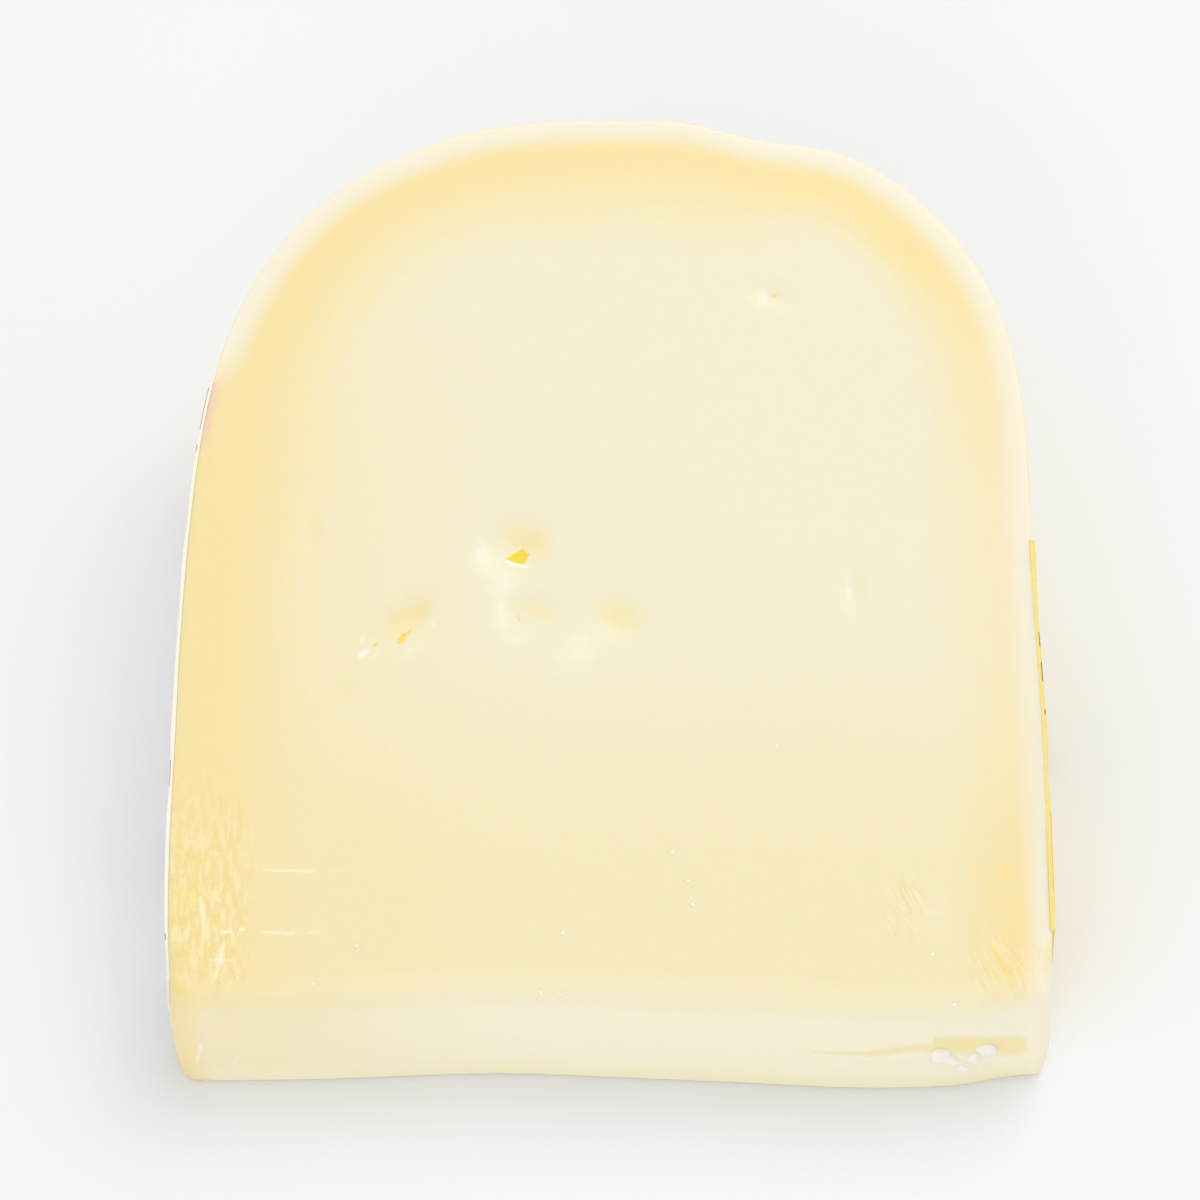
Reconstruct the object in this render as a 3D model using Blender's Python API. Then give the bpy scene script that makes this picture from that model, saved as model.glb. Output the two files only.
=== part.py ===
import math

import bmesh
import bpy
import numpy as np
from mathutils import Matrix, Vector

# A prepacked wedge of firm, semi-hard wheel cheese. It lies on one cut face with the other cut face up.
# X runs along the wheel's axis, +Y points out to the rim, and the pointed end of the wedge is cut off blunt.
# A place on the cheese is given by x, by "along" (distance from the blunt end towards the rim, in the upper
# cut) and by the turn about the wheel's axis, which is 0 in the lower cut face. Metres and radians.

wheelRadius = 0.1991          # the rim, at its crown
wheelHalfHeight = 0.055       # half the wheel's height, along X
wedgeTurn = math.radians(15)  # angle between the two cut faces
wedgeLength = 0.1145          # blunt end to rim, in the upper cut
bluntLean = 0.0445            # share by which the lower cut is longer, so the blunt end leans outwards
flankLength = 0.0112          # straight part of each flat side, from the blunt end
widthPower = 2.5              # powers of the rounded section: |x|^widthPower + along^lengthPower
lengthPower = 5.0
shoulderShare = 0.76          # where flank passes to rim, as a share of the half height
skewStart = 0.0008            # the section's midline drifts to +X towards the rim
skewGrowth = 0.0022
leftCornerRadius = 0.0030     # the two upright corners of the blunt end
rightCornerRadius = 0.0012

# The sides are a little hollow: share of the half width taken off, along, spread.
bothWaist = (0.015, 0.062, 0.020)
leftWaist = (0.019, 0.036, 0.024)
leftTaper = (0.018, 0.0, 0.015)
rightWaist = (0.009, 0.052, 0.034)
rightTaper = (0.011, 0.101, 0.018)

# The rim stands proud beside its crown and on its right shoulder, with a dip between them.
crown = (0.0006, -0.0240, 0.0100, 0.0050)         # height, from x, to x, softness
shoulderBump = (0.0004, 0.0270, 0.0360, 0.0040)
rimDip = (0.0009, 0.0180, 0.0060)                 # depth, x, spread

# In plan the blunt end is hollow at its left, swells at its right and steps back at the right corner.
bluntHollow = (0.0009, -0.0140, 0.0180)           # depth, x, spread
bluntSwell = (0.00095, 0.0340, 0.0160)
cornerTuck = (0.0010, 0.0430, 0.0530)             # step, from x, to x

bandWidth = 0.009             # strip of the cut face next to its edge, meshed in rows
rindEdgeRadius = 0.0004       # rounding of the cut edge along the rind
bluntEdgeRadius = 0.0042      # softer rounding along the blunt end
footRadius = 0.0010           # rounding of the lower edge
sideBulge = 0.0006            # the sides and the blunt end swell between the two cuts
footFlare = (0.018, 0.004, 0.024)  # widening of the blunt end's foot, dying out between these places
gap = 0.0003                  # clearance between touching pieces
labelThickness = 0.0004

crossCells = 38               # cells of the cut face's grid, across and along
alongCells = 40
roundSteps = 3
sideSteps = 5
bandSteps = 3

# Hollows of the upper cut face: x, along, half length, half width, depth, direction of the length.
hollows = {
    "bigEye": (-0.0107, 0.0584, 0.0042, 0.0038, 0.0012, 0.0),
    "tornFurrow": (-0.0255, 0.0477, 0.0062, 0.0021, 0.0011, math.radians(36)),
    "smallEye": (-0.0101, 0.0495, 0.0024, 0.0022, 0.0007, 0.0),
    "wideDimple": (0.0019, 0.0484, 0.0040, 0.0034, 0.0008, 0.0),
    "leftDimple": (-0.0360, 0.0594, 0.0026, 0.0014, 0.0005, math.radians(90)),
    "rightDimple": (0.0321, 0.0523, 0.0027, 0.0011, 0.0005, math.radians(90)),
    "rimSlit": (0.0221, 0.0911, 0.0020, 0.0011, 0.0004, 0.0),
    "faintDimple": (-0.0319, 0.0397, 0.0022, 0.0018, 0.0003, 0.0),
}

# Eyes, the small gas holes: x, along, half length, half width, half depth, direction of the length.
eyes = {
    "bigEye": (-0.0105, 0.0569, 0.0018, 0.0012, 0.0016, math.radians(12)),
    "smallEye": (-0.0102, 0.0487, 0.0008, 0.0006, 0.0010, 0.0),
    "furrowEye": (-0.0247, 0.0461, 0.0008, 0.0005, 0.0010, math.radians(30)),
    "furrowEnd": (-0.0286, 0.0455, 0.0009, 0.0006, 0.0010, math.radians(60)),
    "rimSlit": (0.0221, 0.0911, 0.0012, 0.0006, 0.0010, math.radians(-20)),
}

# The crack in the blunt end: a hairline that gapes near the right corner and closes roundly before it.
# Heights of its two edges above the lower cut: start, then each change with the x it runs from and to.
crackFrom = 0.0240
crackTo = 0.0535
crackUpper = (0.0105, (0.0019, 0.0320, 0.0400), (0.0026, 0.0410, 0.0426),
              (-0.0023, 0.0435, 0.0500), (-0.0016, 0.0460, 0.0530))
crackLower = (0.0101, (-0.0004, 0.0290, 0.0340), (0.0006, 0.0350, 0.0385), (-0.0003, 0.0390, 0.0415),
              (-0.0011, 0.0420, 0.0450), (-0.0027, 0.0435, 0.0510))
crackRounding = 0.0015              # length over which its end closes
hairDepth = 0.0004                  # depth behind the blunt end, hairline and gape
gapeDepth = 0.0010
crackSteps = 30

# The two paper labels were stuck to the flat sides of the wheel and cut with it.
leftLabelAlong = (0.0040, 0.0795)
rightLabelAlong = (0.0092, 0.0586)
labelFootHeight = 0.0008
labelColumns = 34
labelRows = 4


def clearScene():
    for thing in list(bpy.data.objects):
        bpy.data.objects.remove(thing, do_unlink=True)


def makeMaterial(name, colour, roughness):
    material = bpy.data.materials.new(name)
    material.use_nodes = True
    shader = material.node_tree.nodes["Principled BSDF"]
    shader.inputs["Base Color"].default_value = (*colour, 1.0)
    shader.inputs["Roughness"].default_value = roughness
    shader.inputs["Metallic"].default_value = 0.0
    return material


def smoothStep(value, low, high):
    share = np.clip((value - low) / (high - low), 0.0, 1.0)
    return share * share * (3.0 - 2.0 * share)


def windowShape(value, low, high, soft):
    return smoothStep(value, low - soft, low + soft) * (1.0 - smoothStep(value, high - soft, high + soft))


# Bell curve: height * exp(-((value - place) / spread)^2).
def bell(value, height, place, spread):
    return height * np.exp(-(((value - place) / spread) ** 2))


# Adds the hollow waists, the drift of the midline, the bumps of the rim and the wave of the blunt end to
# points of the plain section.
def unevenSection(x, along):
    leftHollow = bell(along, *leftWaist) + bell(along, *leftTaper)
    rightHollow = bell(along, *rightWaist) + bell(along, *rightTaper)
    waist = 1.0 - bell(along, *bothWaist) - np.where(x < 0.0, leftHollow, rightHollow)
    drift = skewStart + skewGrowth * smoothStep(along, 0.040, 0.105)
    nearRim = smoothStep(along, 0.75 * wedgeLength, 0.92 * wedgeLength)
    bumps = -bell(x, *rimDip)
    for height, low, high, soft in (crown, shoulderBump):
        bumps = bumps + height * windowShape(x, low, high, soft)
    nearBlunt = 1.0 - smoothStep(along, 0.004, 0.030)
    step, low, high = cornerTuck
    wave = bell(x, *bluntSwell) - bell(x, *bluntHollow) - step * smoothStep(x, low, high)
    return x * waist + drift, along + nearRim * bumps - nearBlunt * wave


# Quarter of a circle round an upright corner, from one turn to another.
def cornerArc(centreX, centreAlong, radius, fromTurn, toTurn):
    turn = np.linspace(fromTurn, toTurn, 12)
    return centreX + radius * np.cos(turn), centreAlong + radius * np.sin(turn)


# The four stretches of the cut face's outline, moved in by "inset": blunt end, right side, rim, left side.
# They run anticlockwise seen from above and meet halfway round each corner or shoulder.
def outlineStretches(inset):
    half = wheelHalfHeight - inset
    reach = wedgeLength - flankLength - inset
    leftRadius = max(leftCornerRadius - inset, 0.0010)
    rightRadius = max(rightCornerRadius - inset, 0.0010)
    leftCentre = (-half + leftRadius, inset + leftRadius)
    rightCentre = (half - rightRadius, inset + rightRadius)
    down, sideways = -0.5 * math.pi, math.pi
    eighth = 0.25 * math.pi

    def flank(share):
        return half * (1.0 - share ** lengthPower) ** (1.0 / widthPower), flankLength + reach * share

    shoulder = (1.0 - shoulderShare ** widthPower) ** (1.0 / lengthPower)
    upFlankX, upFlankAlong = flank(np.linspace(0.0, shoulder, 120))
    acrossX = half * shoulderShare * np.linspace(1.0, -1.0, 160)
    acrossAlong = flankLength + reach * (1.0 - np.abs(acrossX / half) ** widthPower) ** (1.0 / lengthPower)

    leftLow = cornerArc(*leftCentre, leftRadius, sideways + eighth, sideways + 2 * eighth)
    rightLow = cornerArc(*rightCentre, rightRadius, down, down + eighth)
    rightHigh = cornerArc(*rightCentre, rightRadius, down + eighth, 0.0)
    leftHigh = cornerArc(*leftCentre, leftRadius, sideways, sideways + eighth)
    frontX = np.linspace(leftCentre[0], rightCentre[0], 120)[1:-1]
    blunt = np.hstack([leftLow, (frontX, np.full_like(frontX, inset)), rightLow])
    rightStraight = np.linspace(rightCentre[1], flankLength, 16)[1:-1]
    leftStraight = np.linspace(flankLength, leftCentre[1], 16)[1:-1]
    right = np.hstack([rightHigh, (np.full(14, half), rightStraight), (upFlankX, upFlankAlong)])
    rim = np.array([acrossX, acrossAlong])
    left = np.hstack([(-upFlankX[::-1], upFlankAlong[::-1]), (np.full(14, -half), leftStraight), leftHigh])
    return [np.array(unevenSection(*stretch)) for stretch in (blunt, right, rim, left)]


# Evenly spaced points on one stretch, its last point left to the next stretch.
def spacePoints(stretch, count):
    steps = np.hypot(*np.diff(stretch, axis=1))
    run = np.concatenate([[0.0], np.cumsum(steps)])
    wanted = np.linspace(0.0, run[-1], count + 1)[:-1]
    return np.array([np.interp(wanted, run, stretch[0]), np.interp(wanted, run, stretch[1])])


def outlinePoints(inset):
    counts = (crossCells, alongCells, crossCells, alongCells)
    return np.hstack([spacePoints(stretch, count) for stretch, count in zip(outlineStretches(inset), counts)])


# Depth of the upper cut face below its plane: the hollows, and a slow unevenness left by the knife.
def cutRelief(x, along):
    depth = 0.00012 * np.sin(95.0 * along + 30.0 * x) + 0.00010 * np.sin(140.0 * x - 40.0 * along)
    for centreX, centreAlong, halfLength, halfWidth, deepest, turn in hollows.values():
        right = (x - centreX) * math.cos(turn) + (along - centreAlong) * math.sin(turn)
        up = (along - centreAlong) * math.cos(turn) - (x - centreX) * math.sin(turn)
        depth = depth + deepest * np.exp(-((right / halfLength) ** 2 + (up / halfWidth) ** 2))
    return depth


# World point for x, along and the turn about the wheel's axis. Lower down, the wedge is longer at its blunt
# end, where the distance from the rim grows by bluntLean, and wider there by footFlare.
def wedgePoint(x, along, turn):
    lower = 1.0 - turn / wedgeTurn
    share, low, high = footFlare
    x = x * (1.0 + share * lower * lower * (1.0 - smoothStep(along, low, high)))
    distance = wheelRadius - (wedgeLength - along) * (1.0 + bluntLean * lower)
    return np.stack([x, distance * np.cos(turn), distance * np.sin(turn)], axis=-1)


def radiusAt(along):
    return wheelRadius - wedgeLength + along


# Rounding of the cut edge: soft along the blunt end, crisp along the rind.
def edgeRadiusAt(along):
    return bluntEdgeRadius + (rindEdgeRadius - bluntEdgeRadius) * smoothStep(along, 0.001, 0.010)


# How far the side stands out at a turn: half a sine wave between the foot's rounding and the cut edge's.
def bulgeAt(turn, lowTurn, highTurn):
    return sideBulge * np.sin(math.pi * np.clip((turn - lowTurn) / (highTurn - lowTurn), 0.0, 1.0))


# Rows of the cheese from its foot, up the side, over the cut edge and onto the cut face's outer band.
def sideRows():
    outer = outlinePoints(0.0)
    inward = (outlinePoints(bandWidth) - outer) / bandWidth
    edge = edgeRadiusAt(outer[1])
    rows = []

    def addRow(inset, turn):
        x, along = outer + inward * inset
        rows.append(wedgePoint(x, along, turn))

    for step in range(roundSteps):
        bend = 0.5 * math.pi * step / roundSteps
        addRow(footRadius * (1.0 - math.sin(bend)), footRadius * (1.0 - math.cos(bend)) / radiusAt(outer[1]))
    lowTurn = footRadius / radiusAt(outer[1])
    highTurn = wedgeTurn - edge / radiusAt(outer[1])
    for step in range(sideSteps + 1):
        turn = lowTurn + (highTurn - lowTurn) * step / sideSteps
        addRow(-bulgeAt(turn, lowTurn, highTurn), turn)
    for step in range(1, roundSteps + 1):
        bend = 0.5 * math.pi * step / roundSteps
        inset = edge * (1.0 - math.cos(bend))
        drop = edge * (1.0 - math.sin(bend))
        addRow(inset, wedgeTurn - (drop + reliefUnder(outer, inward, inset)) / radiusAt(outer[1]))
    for step in range(1, bandSteps + 1):
        inset = edge + (bandWidth - edge) * step / bandSteps
        addRow(inset, wedgeTurn - reliefUnder(outer, inward, inset) / radiusAt(outer[1] + inset))
    return rows


def reliefUnder(outer, inward, inset):
    x, along = outer + inward * inset
    return cutRelief(x, along)


# Coons patch: fills the inside of the band's inner outline with a grid of crossCells by alongCells.
def innerGrid():
    border = outlinePoints(bandWidth)
    across, up = crossCells, alongCells
    closed = np.hstack([border, border[:, :1]])
    blunt = closed[:, :across + 1]
    right = closed[:, across:across + up + 1]
    rim = closed[:, across + up:2 * across + up + 1][:, ::-1]
    left = closed[:, 2 * across + up:][:, ::-1]
    u = np.linspace(0.0, 1.0, across + 1)[None, :, None]
    v = np.linspace(0.0, 1.0, up + 1)[None, None, :]
    sides = ((1 - v) * blunt[:, :, None] + v * rim[:, :, None]
             + (1 - u) * left[:, None, :] + u * right[:, None, :])
    corners = ((1 - u) * (1 - v) * blunt[:, :1, None] + u * (1 - v) * blunt[:, -1:, None]
               + (1 - u) * v * rim[:, :1, None] + u * v * rim[:, -1:, None])
    x, along = sides - corners
    return wedgePoint(x, along, wedgeTurn - cutRelief(x, along) / radiusAt(along))


def addObject(name, mesh, material):
    thing = bpy.data.objects.new(name, mesh)
    thing.data.materials.append(material)
    bpy.context.scene.collection.objects.link(thing)
    return thing


def finishMesh(name, work):
    bmesh.ops.recalc_face_normals(work, faces=work.faces)
    mesh = bpy.data.meshes.new(name)
    work.to_mesh(mesh)
    work.free()
    mesh.shade_smooth()
    mesh.set_sharp_from_angle(angle=math.radians(40))
    return mesh


# The whole wedge: rows up the side, a grid on the upper cut and one flat face below.
def makeWedge():
    work = bmesh.new()
    loops = [[work.verts.new(point) for point in row] for row in sideRows()]
    count = len(loops[0])
    for low, high in zip(loops, loops[1:]):
        for place in range(count):
            following = (place + 1) % count
            work.faces.new((low[place], low[following], high[following], high[place]))
    work.faces.new(list(reversed(loops[0])))

    points = innerGrid()
    rim = loops[-1]
    grid = {}
    for across in range(crossCells + 1):
        for up in range(alongCells + 1):
            if up == 0:
                grid[across, up] = rim[across]
            elif across == crossCells:
                grid[across, up] = rim[crossCells + up]
            elif up == alongCells:
                grid[across, up] = rim[2 * crossCells + alongCells - across]
            elif across == 0:
                grid[across, up] = rim[count - up]
            else:
                grid[across, up] = work.verts.new(points[across, up])
    for across in range(crossCells):
        for up in range(alongCells):
            work.faces.new((grid[across, up], grid[across + 1, up],
                            grid[across + 1, up + 1], grid[across, up + 1]))
    return finishMesh("cheese", work)


# A cutter, hidden and drawn as a wire, with the Boolean that takes it out of the cheese.
def cutWith(cheese, name, mesh):
    cutter = bpy.data.objects.new(name, mesh)
    bpy.context.scene.collection.objects.link(cutter)
    cutter.hide_render = True
    cutter.display_type = "WIRE"
    cut = cheese.modifiers.new(name, "BOOLEAN")
    cut.operation = "DIFFERENCE"
    cut.solver = "EXACT"
    cut.object = cutter
    return cutter


def cutEye(cheese, name, size):
    centreX, centreAlong, halfLength, halfWidth, halfDepth, turn = size
    work = bmesh.new()
    bmesh.ops.create_uvsphere(work, u_segments=10, v_segments=6, radius=1.0)
    shape = Matrix.Rotation(turn, 4, "Z") @ Matrix.Diagonal((halfLength, halfWidth, halfDepth, 1.0))
    bmesh.ops.transform(work, matrix=shape, verts=work.verts)
    cutter = cutWith(cheese, name + "Cutter", finishMesh(name + "Cutter", work))
    place = Vector(wedgePoint(centreX, centreAlong, wedgeTurn))
    sunk = float(cutRelief(np.array(centreX), np.array(centreAlong)))
    normal = Vector((0.0, -math.sin(wedgeTurn), math.cos(wedgeTurn)))
    cutter.location = place - normal * sunk
    cutter.rotation_euler = (wedgeTurn, 0.0, 0.0)
    return cutter


def crackEdge(x, edge):
    height = edge[0]
    for change, low, high in edge[1:]:
        height = height + change * smoothStep(x, low, high)
    return height


# The crack's cutter is a bent blade: cross-sections with a pointed inner edge, from the hairline's end to
# where the gape closes.
def cutCrack(cheese):
    middle = 0.5 * (crackFrom + crackTo)
    x = middle - (middle - crackFrom) * np.cos(np.linspace(0.0, math.pi, crackSteps + 1))
    upper, lower = crackEdge(x, crackUpper), crackEdge(x, crackLower)
    shut = np.sqrt(np.clip((crackTo - x) / crackRounding, 0.0, 1.0)) * smoothStep(x, 0.022, 0.030)
    half = np.maximum(0.5 * (upper - lower) * shut, 0.00006)
    height = 0.5 * (upper + lower)
    depth = hairDepth + (gapeDepth - hairDepth) * smoothStep(half, 0.0003, 0.0022)
    front = unevenSection(x, np.zeros_like(x))[1]
    work = bmesh.new()
    rings = []
    for place, along, opening, level, deep in zip(x, front, half, height, depth):
        corners = ((-0.003, -opening), (0.35 * deep, -0.8 * opening), (deep, 0.0),
                   (0.35 * deep, 0.8 * opening), (-0.003, opening))
        face = wedgePoint(place, along, level / radiusAt(0.0))
        rings.append([work.verts.new((place, face[1] + inwards, face[2] + up)) for inwards, up in corners])
    for ring, following in zip(rings, rings[1:]):
        for corner in range(5):
            other = (corner + 1) % 5
            work.faces.new((ring[corner], ring[other], following[other], following[corner]))
    work.faces.new(rings[0])
    work.faces.new(rings[-1])
    return cutWith(cheese, "crackCutter", finishMesh("crackCutter", work))


# A paper label on a flat side of the wheel, from near the foot up to the upper cut: a closed thin sheet that
# follows the rind at a clearance.
def makeLabel(name, stretch, alongRange, material):
    points = outlineStretches(0.0)[stretch]
    normals = np.gradient(points, axis=1)
    normals = np.array([normals[1], -normals[0]]) / np.hypot(*normals)
    order = np.argsort(points[1])
    wanted = np.linspace(*alongRange, labelColumns + 1)
    x = np.interp(wanted, points[1][order], points[0][order])
    outwardX = np.interp(wanted, points[1][order], normals[0][order])
    outwardAlong = np.interp(wanted, points[1][order], normals[1][order])
    edge = edgeRadiusAt(wanted)
    low = labelFootHeight / radiusAt(wanted)
    high = wedgeTurn - (edge - rindEdgeRadius) / radiusAt(wanted)
    work = bmesh.new()
    sheets = []
    for offset in (gap, gap + labelThickness):
        sheet = []
        for row in range(labelRows + 1):
            turn = low + (high - low) * row / labelRows
            reach = offset + bulgeAt(turn, low, wedgeTurn - edge / radiusAt(wanted))
            ring = wedgePoint(x + outwardX * reach, wanted + outwardAlong * reach, turn)
            sheet.append([work.verts.new(point) for point in ring])
        sheets.append(sheet)
    inner, outer = sheets
    for row in range(labelRows):
        for column in range(labelColumns):
            for sheet in sheets:
                work.faces.new((sheet[row][column], sheet[row][column + 1],
                                sheet[row + 1][column + 1], sheet[row + 1][column]))
    for column in range(labelColumns):
        for row in (0, labelRows):
            work.faces.new((inner[row][column], inner[row][column + 1],
                            outer[row][column + 1], outer[row][column]))
    for row in range(labelRows):
        for column in (0, labelColumns):
            work.faces.new((inner[row][column], inner[row + 1][column],
                            outer[row + 1][column], outer[row][column]))
    return addObject(name, finishMesh(name, work), material)


# Moves everything so that the object's box stands with its bottom centre on the origin.
def centreAll(pieces, cutters):
    corners = np.array([vertex.co for piece in pieces for vertex in piece.data.vertices])
    middle = 0.5 * (corners.min(axis=0) + corners.max(axis=0))
    shift = Vector((-middle[0], -middle[1], -corners[:, 2].min()))
    for thing in pieces + cutters:
        thing.location = thing.location + shift


def main():
    clearScene()
    paste = makeMaterial("cheesePaste", (0.92, 0.82, 0.55), 0.45)
    whitePaper = makeMaterial("whitePaper", (0.85, 0.80, 0.80), 0.55)
    yellowPaper = makeMaterial("yellowPaper", (0.85, 0.62, 0.12), 0.55)
    cheese = addObject("cheese", makeWedge(), paste)
    cutters = [cutEye(cheese, name, size) for name, size in eyes.items()]
    cutters.append(cutCrack(cheese))
    rightLabel = makeLabel("label_right", 1, rightLabelAlong, yellowPaper)
    leftLabel = makeLabel("label_left", 3, leftLabelAlong, whitePaper)
    centreAll([cheese, rightLabel, leftLabel], cutters)


main()
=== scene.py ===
import math
import bpy
import numpy as np
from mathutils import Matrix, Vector


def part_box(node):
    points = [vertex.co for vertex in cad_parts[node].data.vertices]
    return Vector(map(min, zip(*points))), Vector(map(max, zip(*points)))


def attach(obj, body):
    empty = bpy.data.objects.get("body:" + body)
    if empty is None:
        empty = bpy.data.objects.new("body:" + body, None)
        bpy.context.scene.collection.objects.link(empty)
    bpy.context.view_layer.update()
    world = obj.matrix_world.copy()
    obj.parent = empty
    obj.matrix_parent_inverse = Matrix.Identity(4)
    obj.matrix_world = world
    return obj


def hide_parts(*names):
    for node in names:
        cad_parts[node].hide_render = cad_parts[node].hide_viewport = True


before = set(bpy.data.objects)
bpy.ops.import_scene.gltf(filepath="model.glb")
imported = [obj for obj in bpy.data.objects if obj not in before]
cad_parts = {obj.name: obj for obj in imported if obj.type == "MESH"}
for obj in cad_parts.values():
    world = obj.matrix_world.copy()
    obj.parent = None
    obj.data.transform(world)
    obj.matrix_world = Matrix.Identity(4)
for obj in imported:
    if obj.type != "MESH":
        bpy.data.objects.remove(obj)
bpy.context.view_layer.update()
print("frame loaded:", ", ".join(sorted(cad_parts)))

# A prepacked wedge of semi-hard wheel cheese lying on one cut face. Every size below is in millimetres.
# A place on the cheese is given by x, by along (from the blunt end towards the rim) and by the turn about the
# wheel's axis, which is 0 in the lower cut and wedge["turn"] in the upper cut.
mm = 0.001

wedge = {
    "rimRadius": 199.1,
    "halfHeight": 55.0,
    "turn": math.radians(15),
    "length": 114.5,
    "bluntLean": 0.0445,
    "flank": 11.2,
    "widthPower": 2.5,
    "lengthPower": 5.0,
    "shoulder": 0.76,
    "waist": (0.015, 62.0, 20.0),        # share of the width taken off, along, spread
    "leftWaist": (0.019, 36.0, 24.0),
    "leftTaper": (0.018, 0.0, 15.0),
    "rightWaist": (0.009, 52.0, 34.0),
    "rightTaper": (0.011, 101.0, 18.0),
    "skewStart": 0.8,
    "skewGrowth": 2.2,
    "leftCorner": 3.0,
    "rightCorner": 1.2,
    "crown": (0.6, -24.0, 10.0, 5.0),    # height, from x, to x, softness
    "notch": (0.9, 18.0, 6.0),           # depth, x, spread
    "shoulderBump": (0.4, 27.0, 36.0, 4.0),
    "bluntHollow": (0.9, -14.0, 18.0),
    "bluntSwell": (0.95, 34.0, 16.0),
    "cornerTuck": (1.0, 43.0, 53.0),      # how far the right corner steps back, from x, to x
    "band": 6.0,
    "rindEdge": 0.3,
    "bluntEdge": 4.2,
    "foot": 1.0,
    "sideBulge": 0.6,
    "footFlare": (0.018, 4.0, 24.0),     # widening of the blunt end's foot, dying out between these places
}

grid = {
    "cross": 216,
    "along": 232,
    "footRows": 4,
    "sideRows": 22,
    "edgeRows": 6,
    "bandRows": 9,
    "underRows": 6,
}


def smoothStep(value, low, high):
    share = np.clip((value - low) / (high - low), 0.0, 1.0)
    return share * share * (3.0 - 2.0 * share)


def windowShape(value, low, high, soft):
    return smoothStep(value, low - soft, low + soft) * (1.0 - smoothStep(value, high - soft, high + soft))


# Pseudo-random numbers 0 to 1 on whole-number points: the fraction of a large sine.
def latticeValue(x, y, seed):
    swirl = np.sin(x * 127.1 + y * 311.7 + seed * 74.7) * 43758.5453
    return swirl - np.floor(swirl)


# Smooth noise 0 to 1: lattice values blended with smooth steps, octaves halving in size and strength.
def smoothNoise(x, y, seed, octaves=3):
    total, strength, whole = 0.0, 1.0, 0.0
    for octave in range(octaves):
        columnAt, rowAt = np.floor(x), np.floor(y)
        right, up = smoothStep(x - columnAt, 0.0, 1.0), smoothStep(y - rowAt, 0.0, 1.0)
        low = (latticeValue(columnAt, rowAt, seed) * (1 - right) + latticeValue(columnAt + 1, rowAt, seed) * right)
        high = (latticeValue(columnAt, rowAt + 1, seed) * (1 - right)
                + latticeValue(columnAt + 1, rowAt + 1, seed) * right)
        total = total + strength * (low * (1 - up) + high * up)
        whole += strength
        x, y, seed, strength = x * 2.03, y * 2.03, seed + 17, strength * 0.5
    return total / whole


# Round bump of height 1: exp(-(along its length)^2 - (across it)^2), turned by an angle.
def roundBump(x, along, centreX, centreAlong, halfLength, halfWidth, turn=0.0):
    right = (x - centreX) * math.cos(turn) + (along - centreAlong) * math.sin(turn)
    up = (along - centreAlong) * math.cos(turn) - (x - centreX) * math.sin(turn)
    return np.exp(-((right / halfLength) ** 2 + (up / halfWidth) ** 2))


# Line of height 1 with soft sides and ends: exp(-(distance from the segment / half width)^2).
def strokeBump(x, along, fromX, fromAlong, toX, toAlong, halfWidth):
    runX, runAlong = toX - fromX, toAlong - fromAlong
    share = np.clip(((x - fromX) * runX + (along - fromAlong) * runAlong) / (runX ** 2 + runAlong ** 2), 0, 1)
    away = np.hypot(x - fromX - share * runX, along - fromAlong - share * runAlong)
    return np.exp(-((away / (halfWidth * (0.45 + 0.55 * np.sin(math.pi * (0.1 + 0.8 * share))))) ** 2))


# Bell curve: height * exp(-((value - place) / spread)^2).
def bell(value, height, place, spread):
    return height * np.exp(-(((value - place) / spread) ** 2))


# Hollow waists, drift of the midline, bumps of the rim and wave of the blunt end, added to the plain section.
def unevenSection(x, along):
    rightWaist = bell(along, *wedge["rightWaist"]) + bell(along, *wedge["rightTaper"])
    leftWaist = bell(along, *wedge["leftWaist"]) + bell(along, *wedge["leftTaper"])
    sideWaist = np.where(x < 0.0, leftWaist, rightWaist)
    waist = 1.0 - bell(along, *wedge["waist"]) - sideWaist
    drift = wedge["skewStart"] + wedge["skewGrowth"] * smoothStep(along, 40.0, 105.0)
    nearRim = smoothStep(along, 0.75 * wedge["length"], 0.92 * wedge["length"])
    bumps = 0.0
    for height, low, high, soft in (wedge["crown"], wedge["shoulderBump"]):
        bumps = bumps + height * windowShape(x, low, high, soft)
    bumps = bumps - bell(x, *wedge["notch"])
    nearBlunt = 1.0 - smoothStep(along, 4.0, 30.0)
    tuck, low, high = wedge["cornerTuck"]
    wave = bell(x, *wedge["bluntSwell"]) - bell(x, *wedge["bluntHollow"]) - tuck * smoothStep(x, low, high)
    return x * waist + drift, along + nearRim * bumps - nearBlunt * wave


def cornerArc(centre, radius, fromTurn, toTurn):
    turn = np.linspace(fromTurn, toTurn, 24)
    return centre[0] + radius * np.cos(turn), centre[1] + radius * np.sin(turn)


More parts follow.
